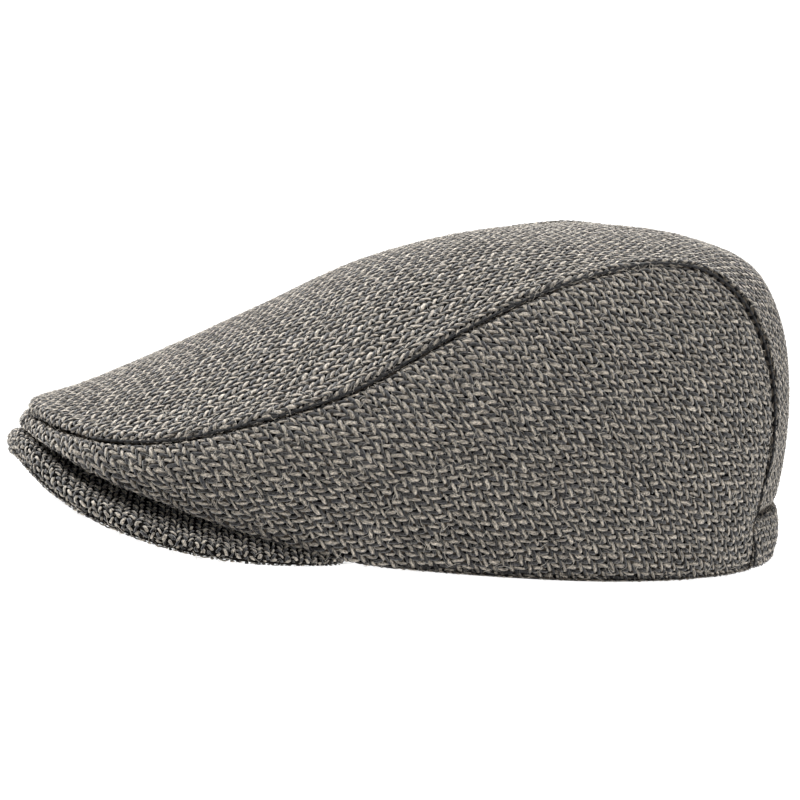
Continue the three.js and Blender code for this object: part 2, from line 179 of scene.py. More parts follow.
def weaving():
    """The tree that weaves one colour of yarn flat and lays its floats on a cut panel."""
    tree, sockets, given = new_tree("tweed_weave", "Floats", {
        "Panel": "Geometry", "Thread Spacing": "Float", "Float Length": "Float", "Yarn Width": "Float",
        "Columns": "Int", "Rows": "Int", "Skew": "Float", "Light Yarn": "Bool", "Yarn": "Material",
        "Seed": "Int"})

    # A float: a spindle along X whose ends dive under the yarns that cross it.
    spindle = add(tree, "GeometryNodeMeshUVSphere", {"Segments": 5, "Rings": 4, "Radius": 1.0})
    place = add(tree, "GeometryNodeInputPosition")
    ball = add(tree, "SeparateXYZ", [place]).outputs
    ends = add(tree, "Math MULTIPLY", [ball["Z"], ball["Z"]])
    fuller = add(tree, "Math MULTIPLY_ADD", [ends, FLOAT_FULLNESS, 1.0])
    half_length = add(tree, "Math MULTIPLY", [given["Float Length"], 0.5])
    half_width = add(tree, "Math MULTIPLY", [given["Yarn Width"], 0.5])
    beside = add(tree, "Math MULTIPLY", [ball["Y"], fuller])
    above = add(tree, "Math MULTIPLY", [ball["X"], fuller])
    up = add(tree, "Math MULTIPLY", [above, YARN_THICKNESS / 2 * MM])
    dive = add(tree, "Math MULTIPLY", [ends, FLOAT_DIVE * MM])
    strand = add(tree, "CombineXYZ", [
        add(tree, "Math MULTIPLY", [ball["Z"], half_length]),
        add(tree, "Math MULTIPLY", [beside, half_width]), add(tree, "Math SUBTRACT", [up, dive])])
    marked = add(tree, "GeometryNodeStoreNamedAttribute", {
        "Geometry": spindle, "Name": "strand",
        "Value": add(tree, "VectorMath SCALE", {0: strand, "Scale": 1 / MM})}, data_type="FLOAT_VECTOR")
    shaped = add(tree, "GeometryNodeSetPosition", {"Geometry": marked, "Position": strand})

    # The loom: a point for each crossing, kept where a float of this yarn starts.
    loom = add(tree, "GeometryNodeMeshGrid", {
        "Size X": 1.0, "Size Y": 1.0, "Vertices X": given["Columns"], "Vertices Y": given["Rows"]})
    index = add(tree, "GeometryNodeInputIndex")
    column = add(tree, "Math FLOOR", [add(tree, "Math DIVIDE", [index, given["Rows"]])])
    row = add(tree, "Math FLOORED_MODULO", [index, given["Rows"]])
    step = add(tree, "Math FLOORED_MODULO", [add(tree, "Math ADD", [column, row]), 4.0])
    standing = add(tree, "Math LESS_THAN", [step, 0.5])
    lying = add(tree, "Math COMPARE", [step, 2.0, 0.5])
    upright_thread = add(tree, "Math MULTIPLY", [add(tree, "Math ADD", [column, 1.0]), standing])
    thread = add(tree, "Math ADD", [upright_thread, add(tree, "Math MULTIPLY", [row, lying])])
    light = add(tree, "Math FLOORED_MODULO", [thread, 2.0])
    wanted = add(tree, "Math COMPARE", [light, given["Light Yarn"], 0.5])
    starts = add(tree, "Math MULTIPLY", [add(tree, "Math ADD", [standing, lying]), wanted])
    middle_row = add(tree, "Math MULTIPLY_ADD", [standing, 0.5 + WARP_SLIP, row])
    slipped = add(tree, "Math MULTIPLY_ADD", [standing, -WARP_SLIP, column])
    middle_column = add(tree, "Math MULTIPLY_ADD", [lying, 0.5, slipped])
    skewed = add(tree, "Math MULTIPLY", [middle_row, given["Skew"]])
    middle = add(tree, "CombineXYZ", [add(tree, "Math SUBTRACT", [middle_column, skewed]), middle_row])
    outside = add(tree, "VectorMath SUBTRACT", [middle, (BORDER_THREADS, BORDER_THREADS, 0)])
    spaced = add(tree, "VectorMath SCALE", {0: outside, "Scale": given["Thread Spacing"]})

    # Each float lies and turns a little unevenly, as carded wool does.
    def uneven(low, high, offset):
        seed = add(tree, "FunctionNodeIntegerMath ADD", [given["Seed"], offset])
        value = add(tree, "FunctionNodeRandomValue", {2: low, 3: high, "Seed": seed}, data_type="FLOAT")
        return value.outputs[1]

    astray = add(tree, "CombineXYZ", [uneven(-ASTRAY * MM, ASTRAY * MM, n) for n in (6, 7)])
    strung = add(tree, "GeometryNodeSetPosition", {
        "Geometry": loom, "Position": add(tree, "VectorMath ADD", [spaced, astray])})
    upright = add(tree, "Math MULTIPLY", [standing, math.radians(90 + WARP_LEAN)])
    lean = add(tree, "Math MULTIPLY_ADD", [lying, math.radians(WEFT_LEAN), upright])
    turn = add(tree, "CombineXYZ", {"Z": add(tree, "Math ADD", [lean, uneven(-0.14, 0.14, 1)])})
    wider = add(tree, "Math MULTIPLY_ADD", [given["Light Yarn"], LIGHT_WIDER, 1.0])
    thinner = add(tree, "Math MULTIPLY_ADD", [standing, -WARP_THINNER, wider])
    size = add(tree, "CombineXYZ", [
        uneven(0.82, 1.14, 2), add(tree, "Math MULTIPLY", [thinner, uneven(0.72, 1.14, 3)]),
        uneven(0.7, 1.2, 4)])
    floats = add(tree, "GeometryNodeInstanceOnPoints", {
        "Points": strung, "Selection": starts, "Instance": shaped, "Rotation": turn, "Scale": size})
    toned = add(tree, "GeometryNodeStoreNamedAttribute", {
        "Geometry": floats, "Name": "tone", "Value": uneven(0.0, 1.0, 5)},
        data_type="FLOAT", domain="INSTANCE")
    cloth = add(tree, "GeometryNodeRealizeInstances", {"Geometry": toned})

    # The flat cloth is laid on the panel: the cut says where each flat point comes to lie.
    flat = add(tree, "GeometryNodeInputPosition")
    sway = add(tree, "TexNoise", {"Vector": flat, "Scale": SWAY_PER_METRE, "Detail": 2.0})
    quiver = add(tree, "TexNoise", {"Vector": flat, "Scale": QUIVER_PER_METRE, "Detail": 1.0})
    drifted = add(tree, "VectorMath MULTIPLY_ADD", [
        sway.outputs["Color"], (SWAY * MM, SWAY * MM, 0.0), flat])
    swayed = add(tree, "VectorMath MULTIPLY_ADD", [
        quiver.outputs["Color"], (QUIVER * MM, QUIVER * MM, 0.0), drifted])
    cut = add(tree, "GeometryNodeInputNamedAttribute", {"Name": "cut"}, data_type="FLOAT_VECTOR")
    onto, facing = (add(tree, "GeometryNodeSampleUVSurface", {
        "Mesh": given["Panel"], "Value": value, "UV Map": cut, "Sample UV": swayed},
        data_type="FLOAT_VECTOR") for value in (place, add(tree, "GeometryNodeInputNormal")))
    height = add(tree, "Math ADD", [add(tree, "SeparateXYZ", [flat]).outputs["Z"], YARN_LIFT * MM])
    out = add(tree, "VectorMath SCALE", {0: facing, "Scale": height})
    kept = add(tree, "GeometryNodeStoreNamedAttribute", {
        "Geometry": cloth, "Name": "on_panel", "Value": onto.outputs["Is Valid"]}, data_type="FLOAT")
    moved = add(tree, "GeometryNodeSetPosition", {
        "Geometry": kept, "Position": add(tree, "VectorMath ADD", [onto, out])})
    inside = add(tree, "GeometryNodeInputNamedAttribute", {"Name": "on_panel"}, data_type="FLOAT")
    trimmed = add(tree, "GeometryNodeDeleteGeometry", {
        "Geometry": moved, "Selection": add(tree, "Math LESS_THAN", [inside, 0.5])}, domain="POINT")
    smooth = add(tree, "GeometryNodeSetShadeSmooth", {"Geometry": trimmed})
    dyed = add(tree, "GeometryNodeSetMaterial", {"Geometry": smooth, "Material": given["Yarn"]})
    add(tree, "NodeGroupOutput", {"Floats": dyed})
    return tree, sockets


weave_tree, weave_sockets = weaving()

FIBRES_PER_SQUARE_METRE = 200000.0
FIBRE_LENGTH = 2.6
FIBRE_WIDTH = 0.1             # wool is finer: it is drawn this coarse so that it shows
FIBRE_BEND = 0.9              # how far the ends of a fibre curl sideways
FIBRE_STANDS, FIBRE_DROPS = 0.16, -1.2  # its middle from the face, and how far its ends dip
# Single wool fibres that have worked loose from both yarns, grey to cream, dull.
loose_wool, wool_tree, wool_surface = new_material("loose_wool_fibres", {"Roughness": 0.7})
wool_mix = add(wool_tree, "Mix", {
    "Factor": add(wool_tree, "Attribute", attribute_name="tone").outputs["Fac"],
    6: linear("#38383a"), 7: linear("#e2dacd")}, data_type="RGBA")
wool_tree.links.new(wool_mix.outputs[2], wool_surface["Base Color"])


def shedding():
    """The tree that strews loose fibres over a panel."""
    tree, sockets, given = new_tree("loose_fibres", "Fibres", {
        "Panel": "Geometry", "Density": "Float", "Length": "Float", "Width": "Float",
        "Fibre": "Material", "Seed": "Int"})
    strip = add(tree, "GeometryNodeMeshGrid", {
        "Size X": 1.0, "Size Y": 1.0, "Vertices X": 5, "Vertices Y": 2})
    at = add(tree, "SeparateXYZ", [add(tree, "GeometryNodeInputPosition")]).outputs
    square = add(tree, "Math MULTIPLY", [at["X"], at["X"]])
    curl = add(tree, "Math MULTIPLY", [square, FIBRE_BEND * MM])
    bent = add(tree, "CombineXYZ", [
        add(tree, "Math MULTIPLY", [at["X"], given["Length"]]),
        add(tree, "Math MULTIPLY_ADD", [at["Y"], given["Width"], curl]),
        add(tree, "Math MULTIPLY_ADD", [square, FIBRE_DROPS * MM, FIBRE_STANDS * MM])])
    fibre = add(tree, "GeometryNodeSetPosition", {"Geometry": strip, "Position": bent})
    strewn = add(tree, "GeometryNodeDistributePointsOnFaces", {
        "Mesh": given["Panel"], "Density": given["Density"], "Seed": given["Seed"]})
    ways = add(tree, "FunctionNodeRandomValue", {
        0: (-0.8, -0.3, 0.0), 1: (0.8, 0.3, 6.28), "Seed": given["Seed"]}, data_type="FLOAT_VECTOR")
    spin = add(tree, "FunctionNodeEulerToRotation", [ways])
    turn = add(tree, "FunctionNodeRotateRotation", [strewn.outputs["Rotation"], spin],
               rotation_space="LOCAL")
    sizes, tones = (add(tree, "FunctionNodeRandomValue", {
        2: low, 3: high, "Seed": given["Seed"]}, data_type="FLOAT").outputs[1]
        for low, high in ((0.5, 1.3), (0.0, 1.0)))
    laid = add(tree, "GeometryNodeInstanceOnPoints", {
        "Points": strewn, "Instance": fibre, "Rotation": turn, "Scale": sizes})
    toned = add(tree, "GeometryNodeStoreNamedAttribute", {
        "Geometry": laid, "Name": "tone", "Value": tones}, data_type="FLOAT", domain="INSTANCE")
    real = add(tree, "GeometryNodeRealizeInstances", {"Geometry": toned})
    # A fibre that would hang below the hem lies on the floor.
    above = add(tree, "CombineXYZ", [
        at["X"], at["Y"], add(tree, "Math MAXIMUM", [at["Z"], FIBRE_WIDTH * MM])])
    resting = add(tree, "GeometryNodeSetPosition", {"Geometry": real, "Position": above})
    dyed = add(tree, "GeometryNodeSetMaterial", {"Geometry": resting, "Material": given["Fibre"]})
    add(tree, "NodeGroupOutput", {"Fibres": dyed})
    return tree, sockets


fibre_tree, fibre_sockets = shedding()


def as_mesh(name, points, faces, edges=()):
    """A mesh object in metres from points in millimetres."""
    mesh = bpy.data.meshes.new(name)
    mesh.from_pydata((np.asarray(points) * MM).tolist(), edges, faces)
    mesh.shade_smooth()
    mesh.update()
    made = bpy.data.objects.new(name, mesh)
    bpy.context.scene.collection.objects.link(made)
    return made


def grid_faces(rows, columns, start=0, flipped=False):
    """Quads of a grid of points, facing out where its rows cross its columns to the right."""
    faces = []
    for i in range(rows - 1):
        for j in range(columns - 1):
            a = start + i * columns + j
            quad = (a, a + 1, a + columns + 1, a + columns)
            faces.append(quad[::-1] if flipped else quad)
    return faces


def grid_mesh(name, grid):
    """A mesh object of one grid of points."""
    return as_mesh(name, grid.reshape(-1, 3), grid_faces(*grid.shape[:2]))


def turned(at, angle):
    """Flat places turned by an angle and moved to start at 0."""
    at = at @ np.array([[math.cos(angle), math.sin(angle)], [-math.sin(angle), math.cos(angle)]])
    return at - at.min(0)


def loop_vertices(mesh):
    """The vertex at each corner of a mesh's faces."""
    vertex = np.zeros(len(mesh.loops), int)
    mesh.loops.foreach_get("vertex_index", vertex)
    return vertex


def cut_flat(panel, along, grain):
    """Flattens a panel as it was cut. Gives the flat place of each point in metres, turned from the
    line along by the grain in degrees, with the cut's width and length, and its area."""
    mesh = panel.data
    mesh.uv_layers.new(name="cut")
    bpy.context.view_layer.objects.active = panel
    panel.select_set(True)
    bpy.ops.object.mode_set(mode="EDIT")
    bpy.ops.mesh.select_all(action="SELECT")
    bpy.ops.uv.unwrap(method="MINIMUM_STRETCH", margin=0.0, iterations=40)
    bpy.ops.object.mode_set(mode="OBJECT")
    panel.select_set(False)
    corners = np.zeros(len(mesh.loops) * 2)
    mesh.uv_layers["cut"].data.foreach_get("uv", corners)
    vertex = loop_vertices(mesh)
    at = np.zeros((len(mesh.vertices), 2))
    at[vertex] = corners.reshape(-1, 2)
    area = sum(p.area for p in mesh.polygons)
    x, y = np.moveaxis(at[vertex.reshape(-1, 4)], -1, 0)
    quads = sum(x[:, k] * y[:, (k + 1) % 4] - x[:, (k + 1) % 4] * y[:, k] for k in range(4)) / 2
    at *= math.sqrt(area / np.abs(quads).sum())
    first, last = along
    at = turned(at, -math.atan2(*(at[last] - at[first])[::-1]))
    length, width = at.max(0) - at.min(0)
    return turned(at, math.radians(grain)), (float(width), float(length)), area


def give_cut(mesh, at):
    """Stores flat places as the map named cut."""
    layer = mesh.uv_layers.get("cut") or mesh.uv_layers.new(name="cut")
    layer.data.foreach_set("uv", at[loop_vertices(mesh)].astype(np.float32).ravel())


def made_by(tree, sockets, name, mesh, values):
    """The piece that a tree makes on a mesh, as a plain mesh of its own."""
    piece = bpy.data.objects.new(name, mesh)
    bpy.context.scene.collection.objects.link(piece)
    modifier = piece.modifiers.new("tree", "NODES")
    modifier.node_group = tree
    for label, value in values.items():
        modifier[sockets[label]] = value
    made = bpy.data.meshes.new_from_object(piece.evaluated_get(bpy.context.evaluated_depsgraph_get()))
    piece.modifiers.clear()
    piece.data = made
    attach(piece, "root")
    return piece


def weave_onto(name, panel, at, seed, skew=0.0, float_length=FLOAT_LENGTH, width=YARN_WIDTH):
    """Weaves both yarns on a cut panel, strews it with loose fibres and removes the cut panel. The skew
    is how far the standing yarns lean on it. Gives the pieces of yarn."""
    give_cut(panel.data, at)
    threads = at.max(0) / (THREAD_SPACING * MM)
    rows = int(threads[1]) + 2 * BORDER_THREADS
    columns = int(threads[0] + rows * skew) + 2 * BORDER_THREADS
    yarns = []
    for shade, yarn in (("light", light_yarn), ("dark", dark_yarn)):
        yarns.append(made_by(weave_tree, weave_sockets, f"{name}_{shade}_yarn", panel.data, {
            "Thread Spacing": THREAD_SPACING * MM, "Float Length": float_length * MM,
            "Yarn Width": width * MM, "Columns": columns, "Rows": rows, "Skew": skew,
            "Light Yarn": yarn is light_yarn, "Yarn": yarn, "Seed": seed}))
    made_by(fibre_tree, fibre_sockets, name + "_loose_fibres", panel.data, {
        "Density": FIBRES_PER_SQUARE_METRE, "Length": FIBRE_LENGTH * MM, "Width": FIBRE_WIDTH * MM,
        "Fibre": loose_wool, "Seed": seed})
    bpy.data.objects.remove(panel)
    return yarns


def table_curve(columns, rows, names):
    """A smooth curve through three columns of a table, by stations from 0 to 1: centripetal, and an
    unknown name reads as 0."""
    points = np.array([[row[columns.index(n)] if n in columns else 0.0 for n in names] for row in rows])
    points = np.vstack([2 * points[0] - points[1], points, 2 * points[-1] - points[-2]])

    def at(stations):
        place = np.asarray(stations, float) * (len(rows) - 1)
        k = np.clip(place.astype(int), 0, len(rows) - 2)
        w = (place - k)[..., None]
        p = [points[k + i] for i in range(4)]
        gap = [np.maximum(np.linalg.norm(p[i + 1] - p[i], axis=-1, keepdims=True), 1e-8) ** 0.5
               for i in range(3)]
        into = (p[1] - p[0]) / gap[0] - (p[2] - p[0]) / (gap[0] + gap[1]) + (p[2] - p[1]) / gap[1]
        away = (p[2] - p[1]) / gap[1] - (p[3] - p[1]) / (gap[1] + gap[2]) + (p[3] - p[2]) / gap[2]
        into, away = into * gap[1], away * gap[1]
        return (p[1] + into * w + (3 * (p[2] - p[1]) - 2 * into - away) * w ** 2
                + (2 * (p[1] - p[2]) + into + away) * w ** 3)

    return at


# The sections of the crown, from the front tip to the rear band: a seam, the ridge and an edge in each.
CROWN_COLUMNS = (
    "seam_x", "seam_y", "seam_z", "ridge_y", "ridge_z", "edge_x", "edge_y", "edge_z", "belly", "tuck")
CROWN_ROWS = (
    (0, -133.1, 32.6, -133.1, 32.6, 0, -135.3, 27.2, 1.4, 1),
    (20, -127.1, 31.8, -130.9, 35.6, 24, -129.9, 25, 1.8, 1),
    (38, -115.5, 32.3, -122.4, 38, 43, -115.3, 19.6, 3, 1),
    (50, -97.9, 35.2, -109.9, 42.5, 53, -100.4, 16.4, 4, 1),
    (57, -80.2, 41, -92.9, 50.2, 62, -81.9, 12, 5.5, 1),
    (59, -39.9, 55.7, -52.9, 72, 71, -43.9, 3.8, 8, 1),
    (56, -6.5, 75.1, -16.9, 91, 77.6, -13.4, 0, 9, 0),
    (52, 28.5, 92.9, 22.1, 102.5, 81.5, 8.8, 0, 10, 0),
    (48, 56.4, 101.5, 54.1, 106.3, 83.4, 37.1, 0, 10, 0),
    (46, 70.7, 103.3, 75.1, 107.4, 82, 54.3, 0, 10, 0),
    (46, 86.6, 101, 99.1, 106.4, 79, 68.7, 0, 9, 0),
    (47, 101.5, 90.4, 119.6, 99.2, 75, 80.9, 0, 7.5, 0),
    (49, 111.3, 72.5, 131.6, 81, 70, 91.8, 0, 5.5, 0),
    (51, 115.1, 53, 136.8, 58, 65, 100.2, 0, 3, 0),
    (53.5, 113.7, 34.4, 137.9, 36, 60.5, 106.4, 0, 1.5, 0),
    (55.5, 109.7, 19, 136.7, 18, 56.5, 111.2, 0, 0.5, 0),
)
TOP_FLATNESS = 2.3
TOP_GRAIN = -49.0             # the cloth lies this far off straight on the top panel, degrees
# The rolled edge, by distance from the seam: how far it is pushed outwards, and how high it stands.
EDGE_DISTANCE = (0.0, 0.4, 0.8, 1.2, 1.6, 2.0, 2.6, 3.4, 4.5, 6.0, 8.0)
EDGE_SHIFT = (-0.3, 0.5, 1.1, 1.3, 1.15, 0.95, 0.7, 0.45, 0.2, 0.05, 0.0)
EDGE_HEIGHT = (-2.2, -1.7, -1.0, -0.3, 0.3, 0.75, 1.1, 1.15, 0.8, 0.3, 0.0)
SEAM_DEPTH = -2.2             # no face lies deeper in a seam
# Towards the back the edge is drawn in and the seam lies open. It closes again at the rear band.
BACK_SHIFT = (-1.4, -1.4, -1.3, -1.1, -0.9, -0.7, -0.45, -0.2, 0.0, 0.0, 0.0)
OPEN_FROM, OPEN_TO = 0.58, 0.68
CLOSED_FROM, CLOSED_TO, CLOSED_SHARE = 0.84, 0.96, 0.6
TIP_LENGTH, TIP_DEPTH = 0.15, 0.2  # the seam is shallower on this share of the panel, to this share
TIP_ROLL = 0.05               # and its edge is rolled further over on this share
SEAM_ALLOWANCE, ALLOWANCE_DEPTH = 3.5, 1.9  # the cloth turned in behind the seams
END_DISTANCE = (0.0, 0.3, 0.8, 1.6, 3.0, 6.0)
END_HEIGHT = (-1.5, -1.1, -0.6, -0.3, -0.1, 0.0)

seam_at = table_curve(CROWN_COLUMNS, CROWN_ROWS, ("seam_x", "seam_y", "seam_z"))
ridge_at = table_curve(CROWN_COLUMNS, CROWN_ROWS, ("middle", "ridge_y", "ridge_z"))
seam_line = seam_at(np.linspace(0, 1, 4000))


def top_point(station, across):
    """Faces of the top panel: across runs from the ridge, 0, to a seam, 1 or -1."""
    seam, ridge = seam_at(station), ridge_at(station)
    return np.stack([
        seam[..., 0] * across,
        ridge[..., 1] + (seam[..., 1] - ridge[..., 1]) * across ** 2,
        ridge[..., 2] + (seam[..., 2] - ridge[..., 2]) * np.abs(across) ** TOP_FLATNESS], -1)


def unit(vectors):
    return vectors / np.maximum(np.linalg.norm(vectors, axis=-1, keepdims=True), 1e-9)


def grid_normals(grid):
    """Unit normals of a grid of points, out where its rows cross its columns to the right."""
    return unit(np.cross(np.gradient(grid, axis=1), np.gradient(grid, axis=0)))


def nearest_on(line, grid):
    """The point of a line of points that is nearest to each point of a grid, and how far it is."""
    tree = kdtree.KDTree(len(line))
    for k, p in enumerate(line):
        tree.insert(p, k)
    tree.balance()
    found = [tree.find(p) for p in grid.reshape(-1, 3)]
    return (np.array([f[0] for f in found]).reshape(grid.shape),
            np.array([f[2] for f in found]).reshape(grid.shape[:2]))


def ramp(stations, start, stop):
    """The share, as a column, that rises from 0 to 1 between two stations."""
    return np.clip((stations - start) / (stop - start), 0, 1)[:, None]


def behind(grid, normals, height):
    """The backing under a face that stands at this height."""
    return grid + normals * np.maximum(height - BACKING, BACKING_LIMIT)[..., None]


def wall_between(name, outer, inner, at, node, cloth=cloth_back):
    """A closed wall between two grids, with the cut's map on both faces, in place of its solid."""
    rows, columns = outer.shape[:2]
    count = rows * columns
    faces = grid_faces(rows, columns) + grid_faces(rows, columns, count, True)
    ring = (list(range(columns)) + [i * columns + columns - 1 for i in range(1, rows)]
            + [(rows - 1) * columns + j for j in range(columns - 2, -1, -1)]
            + [i * columns for i in range(rows - 2, 0, -1)])
    for a, b in zip(ring, ring[1:] + ring[:1]):
        faces.append((b, a, a + count, b + count))
    made = as_mesh(name, np.vstack([outer.reshape(-1, 3), inner.reshape(-1, 3)]), faces)
    give_cut(made.data, np.vstack([at, at]))
    made.data.materials.append(cloth)
    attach(made, "root")
    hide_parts(node)
    return made


# Places lie close together at the tip and beside the seams.
front_stations, rear_stations = np.linspace(0.002, 0.06, 16)[:-1], np.linspace(0.06, 1, 110)
top_stations = np.concatenate([front_stations, rear_stations])
half_across = np.concatenate([np.linspace(0, 0.9, 26)[:-1], 1 - 0.1 * np.linspace(1, 0, 13) ** 1.6])
across = np.concatenate([-half_across[:0:-1], half_across])
top_grid = top_point(top_stations[:, None], across[None, :])
top_normals = grid_normals(top_grid)
both_seams = np.vstack([seam_line, seam_line * (-1, 1, 1)])
seam_point, from_seam = nearest_on(both_seams, top_grid)
# The way out to the seam, taken from the point before where the seam itself is too close to tell.
outward = unit(seam_point - top_grid)
middle = len(across) // 2
for step in range(1, middle + 1):
    for j in (middle + step, middle - step):
        close = from_seam[:, j] < 0.15
        outward[close, j] = outward[close, j - (1 if j > middle else -1)]
top_end = top_point(np.ones(400), np.linspace(-1, 1, 400))
from_end = nearest_on(top_end, top_grid)[1]
top_height = np.maximum(SEAM_DEPTH, np.interp(from_seam, EDGE_DISTANCE, EDGE_HEIGHT)
                        + np.interp(from_end, END_DISTANCE, END_HEIGHT))
at_tip = np.clip(top_stations / TIP_LENGTH, TIP_DEPTH, 1)[:, None]
top_height = np.where(top_height < 0, top_height * at_tip, top_height)
top_open = ramp(top_stations, OPEN_FROM, OPEN_TO)
top_open *= 1 - CLOSED_SHARE * ramp(top_stations, CLOSED_FROM, CLOSED_TO)
edge_shift = (np.interp(from_seam, EDGE_DISTANCE, EDGE_SHIFT) * (1 - top_open)
              + np.interp(from_seam, EDGE_DISTANCE, BACK_SHIFT) * top_open)
edge_shift *= 1 + ramp(top_stations, TIP_ROLL, 0)
top_face = top_grid + outward * edge_shift[..., None] + top_normals * top_height[..., None]
rows, columns = top_face.shape[:2]
top_cut = grid_mesh("top_cut", top_face)
ridge_points = [(rows * share // 20) * columns + columns // 2 for share in (5, 12)]
top_at, top_flat, top_area = cut_flat(top_cut, ridge_points, TOP_GRAIN)
top_back = behind(top_grid, top_normals, top_height)
away = unit(top_grid[-1] - top_grid[-2])
top_back[-1] = top_grid[-1] + away * SEAM_ALLOWANCE - top_normals[-1] * ALLOWANCE_DEPTH
top_panel = wall_between("top_panel_cloth", top_back, top_grid - top_normals * CLOTH, top_at,
                         "top_panel")
top_yarns = weave_onto("top_panel", top_cut, top_at, 11)

# Side panels. A tweed panel on each side, sewn under the rolled edge of the top panel and to the rear
# band. Each is turned up inside at the hem, and over the peak it folds under and runs back to the head.
HEAD_HALF_WIDTH = 83.5
HEAD_HALF_LENGTH = 103.5
HEAD_CENTRE_Y = 33.1
HEAD_FULLNESS = 2.08
UPPER_SWELL = 1.2
SLOPE_STEP = 0.01
PEAK_CROWN_Z = 22.0
PEAK_SLOPE = 0.343
PEAK_ROUND = 20.0
OVER_PEAK = 2.6               # underside of the fold above the middle of the peak
WOVEN_RETURN = 7.0            # how far round the fold the yarns are made
HEM_LIFT = 0.25
HEM_ROUND, FOLD_ROUND = 1.2, 4.5
FOLD_BULGE = 0.8              # how much the soft fold swells past a plain rounding
FOLD_STATIONS = (0.1, 0.133, 0.2, 0.267, 0.333, 0.37, 0.4)
FOLD_DROP = (0.0, 0.4, 1.3, 1.9, 2.2, 1.4, 0.3)  # how far the loose fold hangs down over the peak
SEAM_STEPS = (0.1, 0.35, 0.7, 1.1, 1.6, 2.2, 3.0)  # places below the seam, drawn together on a low side
EDGE_STEPS = (7.0, 6.0, 5.0, 4.2, 3.6, 3.1, 2.6, 2.1)  # and above the edge
LOW_AT_SEAM, LOW_AT_EDGE = 12, 20
SIDE_DISTANCE = (0.0, 0.3, 0.7, 1.2, 2.0)  # the side dips under the rolled edge, by distance from the seam
SIDE_HEIGHT = (-2.4, -2.2, -1.6, -0.6, 0.0)
OPEN_SHALLOWER = 0.7          # share by which the open seam is shallower
STITCH_ABOVE_HEM = 2.6
STITCH_GROOVE, GROOVE_WIDTH = 0.9, 0.6
GROOVE_FROM, GROOVE_TO = 0.375, 0.415  # the stitch line begins behind the peak
LOW_BACK_DIP = 1.1            # the seam draws the panel in where it comes down to the rear band
LOW_BACK_FROM, LOW_BACK_TO = 0.86, 0.92
DIP_DISTANCE, DIP_SHARE = (0, 5, 11), (1, 1, 0)
MEETING = 0.15                # the two panels stop this far from the middle at the front tip
SIDE_GRAIN = -2.5
SIDE_SKEW = 0.13

edge_curve = table_curve(CROWN_COLUMNS, CROWN_ROWS, ("edge_x", "edge_y", "edge_z"))
swell_at = table_curve(CROWN_COLUMNS, CROWN_ROWS, ("belly", "tuck", "none"))


def edge_at(station):
    return np.maximum(edge_curve(np.clip(station, 0, 1)), (0, -1000, 0))


def peak_middle(x):
    """Height of the middle of the peak's plate."""
    return PEAK_CROWN_Z - PEAK_SLOPE * (np.hypot(x, PEAK_ROUND) - PEAK_ROUND)


def shares(count):
    """Equal shares up to 1, to lay places along one direction of a grid."""
    return (np.arange(1, count + 1) / count)[None, :, None]


def rounded(start, corner, stop, count):
    """Places round a soft corner."""
    w = shares(count)
    return start * (1 - w) ** 2 + corner * 2 * w * (1 - w) + stop * w ** 2


side_stations = np.concatenate([np.linspace(0, 0.06, 16)[:-1], rear_stations])
seam, edge = seam_at(side_stations), edge_at(side_stations)
edge[:, 2] -= np.interp(side_stations, FOLD_STATIONS, FOLD_DROP)
belly, tuck = swell_at(side_stations)[:, 0:1], np.clip(swell_at(side_stations)[:, 1:2], 0, 1)
before, after = edge_at(side_stations - SLOPE_STEP), edge_at(side_stations + SLOPE_STEP)
out = unit(np.stack([(after - before)[:, 1], (before - after)[:, 0], 0 * belly[:, 0]], -1))
upper = seam + (edge - seam) / 3 + out * UPPER_SWELL * belly
lower = seam + (edge - seam) * 2 / 3 + out * belly
length = np.linalg.norm(edge - seam, axis=1, keepdims=True)


def side_point(down):
    """Points of the left side panel, for a table of places down it from the seam, 0, to the edge, 1."""
    d = down[..., None]
    return (seam[:, None] * (1 - d) ** 3 + upper[:, None] * 3 * d * (1 - d) ** 2
            + lower[:, None] * 3 * d ** 2 * (1 - d) + edge[:, None] * d ** 3)


# Places down the panel lie close together beside the seam, at the stitch line and at the fold.
near_seam = np.array(SEAM_STEPS) * np.minimum(1, length / LOW_AT_SEAM) / length
fold_round = HEM_ROUND + (FOLD_ROUND - HEM_ROUND) * tuck
round_from = np.minimum(fold_round, length * 0.3) / length
near_edge = 1 - np.array(EDGE_STEPS) * np.minimum(1, length / LOW_AT_EDGE) / length
near_edge = np.minimum(near_edge, 1 - round_from - np.arange(len(EDGE_STEPS), 0, -1) * 0.002)
spread = np.linspace(0, 1, 30)[1:-1]
between = near_seam[:, -1:] + (near_edge[:, :1] - near_seam[:, -1:]) * spread
down = np.concatenate([near_seam, between, near_edge, 1 - round_from], 1)
side_wall = side_point(down)
places = down.shape[1]

# The fold: from the edge inwards to the head opening over the peak, or only the cloth's wall at the hem.
reach = (np.abs(edge[:, 0:1] / (HEAD_HALF_WIDTH - CLOTH)) ** HEAD_FULLNESS + np.abs(
    (edge[:, 1:2] - HEAD_CENTRE_Y) / (HEAD_HALF_LENGTH - CLOTH)) ** HEAD_FULLNESS) ** (-1 / HEAD_FULLNESS)
tuck_end = np.concatenate([edge[:, 0:1] * reach, HEAD_CENTRE_Y + (edge[:, 1:2] - HEAD_CENTRE_Y) * reach,
                           OVER_PEAK + peak_middle(edge[:, 0:1] * reach)], 1)
wall_foot = edge - out * CLOTH
fold_end = wall_foot + (tuck_end - wall_foot) * tuck
fold_length = np.linalg.norm(fold_end - edge, axis=1, keepdims=True)
fold_way = (fold_end - edge) / fold_length
round_to = np.minimum(fold_round, fold_length * 0.45)
woven_to = np.minimum(WOVEN_RETURN, fold_length * 0.95)
start, stop = side_wall[:, -1:], (edge + fold_way * round_to)[:, None]
